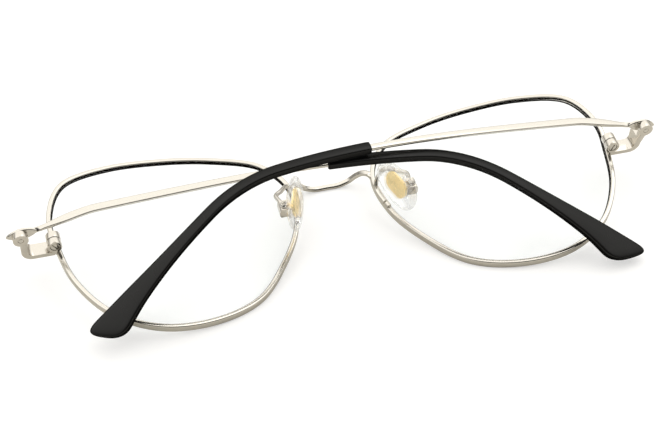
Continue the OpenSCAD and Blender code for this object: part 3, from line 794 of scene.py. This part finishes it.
def screw_tree():
    """Sets a screw on each point of a mesh, turned as the point's attribute says."""
    tree, source = shape_tree("placed_screws", "Places", "Screw", "Screws")
    screw = add(tree, "GeometryNodeObjectInfo", {"Object": source.outputs["Screw"]})
    turn = add(tree, "GeometryNodeInputNamedAttribute", {"Name": "turn"}, data_type="FLOAT_VECTOR")
    angle = add(tree, "FunctionNodeEulerToRotation", {"Euler": turn.outputs["Attribute"]})
    placed = add(tree, "GeometryNodeInstanceOnPoints", {
        "Points": source.outputs["Places"], "Instance": screw.outputs["Geometry"],
        "Rotation": angle.outputs["Rotation"]})
    finish_tree(tree, source, placed.outputs["Instances"], "Screws")
    return tree


SCREWS = screw_tree()


def turned_screw(name, profile, slot_top):
    """Solid of revolution about Z from (radius, height) in millimetres, with a driver slot."""
    count = 48
    angles = np.linspace(0, 2 * math.pi, count, endpoint=False)
    rings = np.concatenate([
        np.column_stack([r * np.cos(angles), r * np.sin(angles), np.full(count, h)]) for r, h in profile])
    screw = make_object(name, rings * MM, skin_faces(len(profile), count), None, 30.0)
    low, high = slot_top - SLOT_CUT, slot_top + 1
    x, y = 1.25 * max(r for r, h in profile), SLOT_WIDTH / 2  # the blade reaches past the head
    corners = [(i * x, j * y, h) for h in (low, high) for i, j in ((-1, -1), (1, -1), (1, 1), (-1, 1))]
    blade = make_object(name + "_slot", np.array(corners) * MM, skin_faces(2, 4), None, 30.0)
    combine(screw, blade, "DIFFERENCE")
    round_edges(screw, SLOT_ROUND, 2, 40)
    return make_plain(screw)


def domed_head(shaft_r, bottom, seat, head_r, head_h, dome_r, steps=7):
    """Profile of a round-headed screw from its shaft end to the middle of its dome."""
    profile = [(shaft_r - SHAFT_CHAMFER, bottom), (shaft_r, bottom + SHAFT_CHAMFER), (shaft_r, seat),
               (head_r, seat)]
    centre = seat + head_h - dome_r
    edge = math.asin(min(1.0, head_r / dome_r))
    for i in range(steps + 1):
        a = edge * (1 - i / (steps + 0.3))
        profile.append((dome_r * math.sin(a), centre + dome_r * math.cos(a)))
    return profile


def place_screws(name, screw, at, axis, slot_angles, node):
    """Sets one kind of screw on both sides; it points along axis, as worn, from its place."""
    mesh = bpy.data.meshes.new(name)
    mesh.from_pydata([tuple(to_table([at], side)[0]) for side in SIDES.values()], [], [])
    turns = mesh.attributes.new("turn", "FLOAT_VECTOR", "POINT")
    aim = Vector(axis).to_track_quat("Z", "X").to_matrix().to_4x4()
    for i, angle in enumerate(slot_angles):
        whole = LAID.to_3x3().to_4x4() @ aim @ Matrix.Rotation(math.radians(angle), 4, "Z")
        turns.data[i].vector = whole.to_euler()
    obj = link_object(name, mesh)
    modifier = obj.modifiers.new("screws", "NODES")
    modifier.node_group = SCREWS
    modifier[socket_id(SCREWS, "Screw")] = screw
    modifier[socket_id(SCREWS, "Metal")] = SILVER
    make_plain(obj, 35.0)
    bpy.data.objects.remove(screw)
    stands_for(obj, "silver_metal", "front", *[f"{node}_{side}" for side in SIDES])


def make_screws():
    seat = LEAF_THICKNESS / 2 + SLIDE
    bottom = -LEAF_THICKNESS / 2 - SLIDE - KNUCKLE_HEIGHT
    head_r = HINGE_SCREW_D / 2 + HINGE_HEAD_RIM
    profile = domed_head(HINGE_SCREW_D / 2, bottom, seat, head_r, HINGE_HEAD_H, HINGE_DOME_R)
    screw = turned_screw("hinge_screw", profile, seat + HINGE_HEAD_H)
    place_screws("hinge_screws", screw, HINGE, (0, 1, 0), (24.0, -58.0), "hinge_screw")

    head = -RIM_CUT / 2 - (LOCK_LENGTH - RIM_CUT) / 2 + HEAD_SUNK
    shaft_end = head + LOCK_LENGTH - HEAD_SUNK - LOCK_CAP - LOCK_END_ROOM
    r, head_r = LOCK_SCREW_D / 2, LOCK_SCREW_D / 2 + LOCK_HEAD_RIM
    profile = [(r - LOCK_CHAMFER, -shaft_end), (r, LOCK_CHAMFER - shaft_end),
               (r, -head - LOCK_HEAD_H), (head_r, -head - LOCK_HEAD_H),
               (head_r, -head - LOCK_CHAMFER), (head_r - LOCK_CHAMFER, -head)]
    screw = turned_screw("lock_screw", profile, -head)
    place_screws("rim_lock_screws", screw, LOCK, (0, -1, 0), (35.0, -20.0), "rim_lock_screw")

    top = BOX_WIDTH / 2
    dome_r = PAD_DOME_SHARE * PAD_HEAD_R
    profile = domed_head(PAD_SCREW_D / 2, -top, top, PAD_HEAD_R, PAD_HEAD_H, dome_r)
    screw = turned_screw("pad_screw", profile, top + PAD_HEAD_H)
    place_screws("pad_screws", screw, BOX_CENTRE, (0, 0, 1), (15.0, 70.0), "pad_screw")


make_screws()


# Temples: a flat leaf that turns into an upright bar, pressed into a black sleeve

def temple_line(q, name):
    """The temple's centre line at distances q from the hinge, before it is folded."""
    angle = math.radians(EAR_ANGLE[name])
    past = np.maximum(q - EAR_BEND, 0)
    arc = EAR_RADIUS * math.sin(angle)
    bent = np.minimum(past, arc)
    drop = EAR_RADIUS - np.sqrt(EAR_RADIUS ** 2 - bent ** 2) + np.maximum(past - arc, 0) * math.tan(angle)
    rise = RISE[2] * smooth_step((q - RISE[0]) / (RISE[1] - RISE[0]))
    rise = rise - BAR_FALL * np.maximum(q - RISE[1], 0)
    return np.column_stack([-q, rise - drop, -TIP_CURL[name] * (q / CURL[0]) ** CURL[1]])


def fold_place(name):
    return Matrix.Translation(Vector(HINGE) * MM) @ Matrix.Rotation(math.radians(FOLD[name]), 4, "Y")


def tip_turn(q, name):
    """How far the sleeve and the bar inside it have rolled, in degrees, at distance q."""
    return PADDLE_ROLL[name] * smooth_step((q - ROLL[0]) / ROLL[1])


def make_leaf(name, side):
    """Almond-shaped leaf with its screw hole; its edges are rounded."""
    count = 96
    a, b = LEAF_LENGTH / 2, LEAF_WIDTH / 2
    arc_r = (a * a + b * b) / (2 * b)
    middle = LEAF_POINT - a
    angles = np.linspace(0, 2 * math.pi, count, endpoint=False)
    ways = np.column_stack([np.cos(angles), np.sin(angles)])
    loops = []
    for inset in (0.0, LEAF_EDGE):
        reach = []
        for way in ways:
            lengths = []
            for centre in ((middle, b - arc_r), (middle, arc_r - b)):
                along = np.dot(way, centre)
                rest = along ** 2 - np.dot(centre, centre) + (arc_r - inset) ** 2
                lengths.append(along + math.sqrt(rest))
            reach.append(min(lengths))
        loops.append(ways * np.array(reach)[:, None])
    hole = ways * (HINGE_SCREW_D / 2 + FREE_FIT)
    half = LEAF_THICKNESS / 2
    rings = [(hole, half), (loops[1], half), (loops[0], half - LEAF_EDGE),
             (loops[0], LEAF_EDGE - half), (loops[1], -half), (hole, -half)]
    points = np.concatenate([np.column_stack([p[:, 0], np.full(count, h), p[:, 1]]) for p, h in rings])
    return make_object("leaf_" + name, to_table(points, side, fold_place(name)),
                       skin_faces(len(rings), count, closed=True), SILVER, 30.0)


def make_bar(name, side):
    """Upright bar from the leaf's twist to its end inside the sleeve."""
    q = np.concatenate([
        np.linspace(TWIST[0], TWIST[1], 24), np.linspace(TWIST[1], TIP_START + CORE_LEAD, 90)[1:],
        np.linspace(TIP_START + CORE_LEAD, CORE_END, 50)[1:]])
    sections = []
    for d in q:
        turn = 90 * (1 - smooth_step((d - TWIST[0]) / (TWIST[1] - TWIST[0]))) + tip_turn(d, name)
        share = min(max((d - BAR_TAPER_FROM) / (TIP_START - BAR_TAPER_FROM), 0), 1)
        height = BAR_HEIGHT + (BAR_HEIGHT_END - BAR_HEIGHT) * share
        height *= NECK_SHARE + (1 - NECK_SHARE) * smooth_step((d - TWIST[1] + NECK_LEAD) / NECK_LENGTH)
        swell = BAR_SWELL * max(d - BAR_SWELL_FROM, 0)
        thickness = min(BAR_THICKNESS, LEAF_THICKNESS - BAR_THINNER + swell)
        sections.append(rounded_bar(height, thickness, BAR_CORNER * thickness, turn))
    points = to_table(bar_rings(temple_line(q, name), sections), side, fold_place(name))
    return make_object("bar_" + name, points, skin_faces(len(q), len(sections[0])), SILVER, 50.0)


def tip_section(low, high, thickness):
    """Rounded bar from its lower to its upper edge, slightly crowned on its outer face."""
    half = thickness / 2
    r = min(TIP_CORNER * thickness, TIP_CORNER_MOST * (high - low))
    points = []
    corners = ((high - r, half - r, 0), (low + r, half - r, 90),
               (low + r, r - half, 180), (high - r, r - half, 270))
    for i, (x, y, start) in enumerate(corners):
        for k in range(7):
            a = math.radians(start + 15 * k)
            points.append((x + r * math.cos(a), y + r * math.sin(a)))
        if i == 0:
            for k in range(1, 8):
                f = k / 8
                points.append((high - r + (low - high + 2 * r) * f, half + TIP_CROWN * f * (1 - f)))
    return np.array(points)


def make_tip(name, side):
    """Moulded sleeve that rolls and widens to a paddle with an oblique round end."""
    length = TEMPLE_LENGTH[name]
    span = length - TIP_START
    q = np.concatenate([
        TIP_FRONT * (1 - np.cos(np.linspace(0, math.pi / 2, 6))),
        np.linspace(TIP_FRONT, span - TIP_ROUND, 90)[1:],
        span - TIP_ROUND + TIP_ROUND * np.sin(np.radians(np.linspace(0, 89.6, 26)))[1:]])
    sections = []
    for d in q:
        w = max(0.0, (TIP_START + d - PADDLE_FROM) / (length - PADDLE_FROM)) ** PADDLE_GROWTH
        front = math.sqrt(1 - (1 - min(d / TIP_FRONT, 1)) ** 2)
        start = TIP_FRONT_SHARE + (1 - TIP_FRONT_SHARE) * front
        round_share = max(0.0, (d - span + TIP_ROUND) / TIP_ROUND)
        end = (1 - round_share ** TIP_ROUND_POWER) ** (1 / TIP_ROUND_POWER)
        full = TIP_HEIGHT + (PADDLE_HEIGHT - TIP_HEIGHT) * w
        height = full * start * end
        centre = -PADDLE_LOW * (PADDLE_HEIGHT - TIP_HEIGHT) * w
        middle = centre + TIP_CLOSE * full * (1 - end)
        thickness = (TIP_THICKNESS + (PADDLE_THICKNESS - TIP_THICKNESS) * w) * start * math.sqrt(end)
        p = tip_section(middle - height / 2, middle + height / 2, thickness)
        skew = TIP_SKEW[name] * smooth_step((d - span + SKEW_LENGTH) / SKEW_LENGTH)
        along = skew * 2 * (p[:, 0] - centre) / full
        a = math.radians(tip_turn(TIP_START + d, name))
        sections.append(np.column_stack([p[:, 0] * math.cos(a) - p[:, 1] * math.sin(a),
                                         p[:, 0] * math.sin(a) + p[:, 1] * math.cos(a), along]))
    points = to_table(bar_rings(temple_line(TIP_START + q, name), sections), side, fold_place(name))
    return make_object("ear_sleeve_" + name, points, skin_faces(len(q), len(sections[0])), ACETATE, 50.0)


def make_temples():
    for name, side in SIDES.items():
        bar = combine(make_leaf(name, side), make_bar(name, side), "UNION")
        bar.name = "temple_bar_" + name
        stands_for(bar, "silver_metal", "temple_" + name, "temple_" + name)
        stands_for(make_tip(name, side), "black_acetate", "temple_" + name, "temple_tip_" + name)


make_temples()


# Nose pads: clear silicone moulded round the gilt core, held by a bent wire on the rim

def pad_place():
    tilt = Matrix.Rotation(math.radians(PAD_TILT), 4, "Z")
    splay = Matrix.Rotation(math.radians(PAD_SPLAY), 4, "Y")
    return Matrix.Translation(Vector(PAD_CENTRE) * MM) @ tilt @ splay


def block(name, low, high, side):
    corners = [(x, y, z) for z in (low[2], high[2])
               for x, y in ((low[0], low[1]), (high[0], low[1]), (high[0], high[1]), (low[0], high[1]))]
    return make_object(name, to_table(corners, side), skin_faces(2, 4), None, 30.0)


def make_pad(name, side):
    """Silicone pad: wider toward its lower end, with flat faces and a round edge.

    It has room round the pad box and the screw's head, so that it can rock.
    """
    steps, count = 48, 64
    phi = np.linspace(0, 2 * math.pi, count, endpoint=False)
    across, deep = np.cos(phi), np.sin(phi)
    across = np.sign(across) * np.abs(across) ** PAD_SQUARENESS[0]
    deep = np.sign(deep) * np.abs(deep) ** PAD_SQUARENESS[1]
    rings = []
    for a in np.radians(np.linspace(-88.5, 88.5, steps)):
        width = PAD_WIDTH / 2 * math.cos(a) ** PAD_ENDS[0] * (1 - PAD_NARROWING * math.sin(a))
        depth = PAD_THICKNESS / 2 * math.cos(a) ** PAD_ENDS[1]
        rings.append(np.column_stack([depth * deep, np.full(count, PAD_LENGTH / 2 * math.sin(a)),
                                      width * across]))
    pad = make_object("silicone_pad_" + name, to_table(np.concatenate(rings), side, pad_place()),
                      skin_faces(steps, count), SILICONE, 50.0)
    reach = np.array([BOX_WIDTH / 2 + PAD_ROOM, BOX_HEIGHT / 2 + PAD_ROOM, BOX_WIDTH / 2 + PAD_ROOM])
    combine(pad, block("box_room", BOX_CENTRE - reach, BOX_CENTRE + reach, side), "DIFFERENCE")
    phi = phi[::2]
    r = PAD_HEAD_R + PAD_ROOM
    head = np.concatenate([
        BOX_CENTRE + np.column_stack([r * np.cos(phi), r * np.sin(phi), np.full(len(phi), h)])
        for h in (0, BOX_WIDTH / 2 + PAD_HEAD_H + PAD_ROOM)])
    head = make_object("head_room", to_table(head, side), skin_faces(2, len(phi)), None, 30.0)
    combine(pad, head, "DIFFERENCE")
    stands_for(pad, "clear_silicone", "nose_pad_" + name, "nose_pad_" + name)


def make_arm(name, side):
    """Wire brazed to the back of the rim, looped round to the top of the pad box."""
    low, high = (rim_point(t, RIM_WIDTH / 2, RIM_DEPTH / 2) for t in (ARM_START, NOSE_POINT))
    r = ARM_WIRE_D / 2
    off = r - ARM_SUNK
    guide = np.array([
        low + (0.15, 0, off), high + (0.1, 0, off), high + (0.5, 1.6, 2.2), high + (2.2, 2.1, 4.4),
        BOX_CENTRE + (-1.0, 6.6, -2.0), BOX_CENTRE + (0.5, 4.9, -1.2), BOX_CENTRE + (0.4, 2.9, -0.5),
        BOX_CENTRE + (0, BOX_HEIGHT / 2, 0)])
    path = curve_point(guide, np.linspace(0, 1, 90), False)
    turn = np.linspace(0, 2 * math.pi, 20, endpoint=False)
    section = r * np.column_stack([np.cos(turn), np.sin(turn)])
    wire = swept("pad_wire_" + name, path, section, SILVER, side)
    combine(wire, make_foot(side), "UNION")
    stands_for(wire, "silver_metal", "front", "pad_arm_" + name)


def make_foot(side):
    """Flat foot along the back of the rim, where the wire is brazed on."""
    share = np.linspace(*FOOT_ENDS, 12) / len(OUTLINE)
    p = outline(share, FOOT_OUT)
    back = RIM_DEPTH / 2 + FOOT_BACK
    path = np.column_stack([p[:, 0] + CENTRE_DISTANCE / 2, p[:, 1], lens_level(p) + back])
    section = rounded_bar(FOOT_HEIGHT, FOOT_THICKNESS, FOOT_ROUND)
    points = to_table(bar_rings(path, [section] * len(share), (1, 0, 0)), side)
    return make_object("foot", points, skin_faces(len(share), len(section)), SILVER, 50.0)


def make_pads():
    for name, side in SIDES.items():
        make_pad(name, side)
        make_arm(name, side)


make_pads()
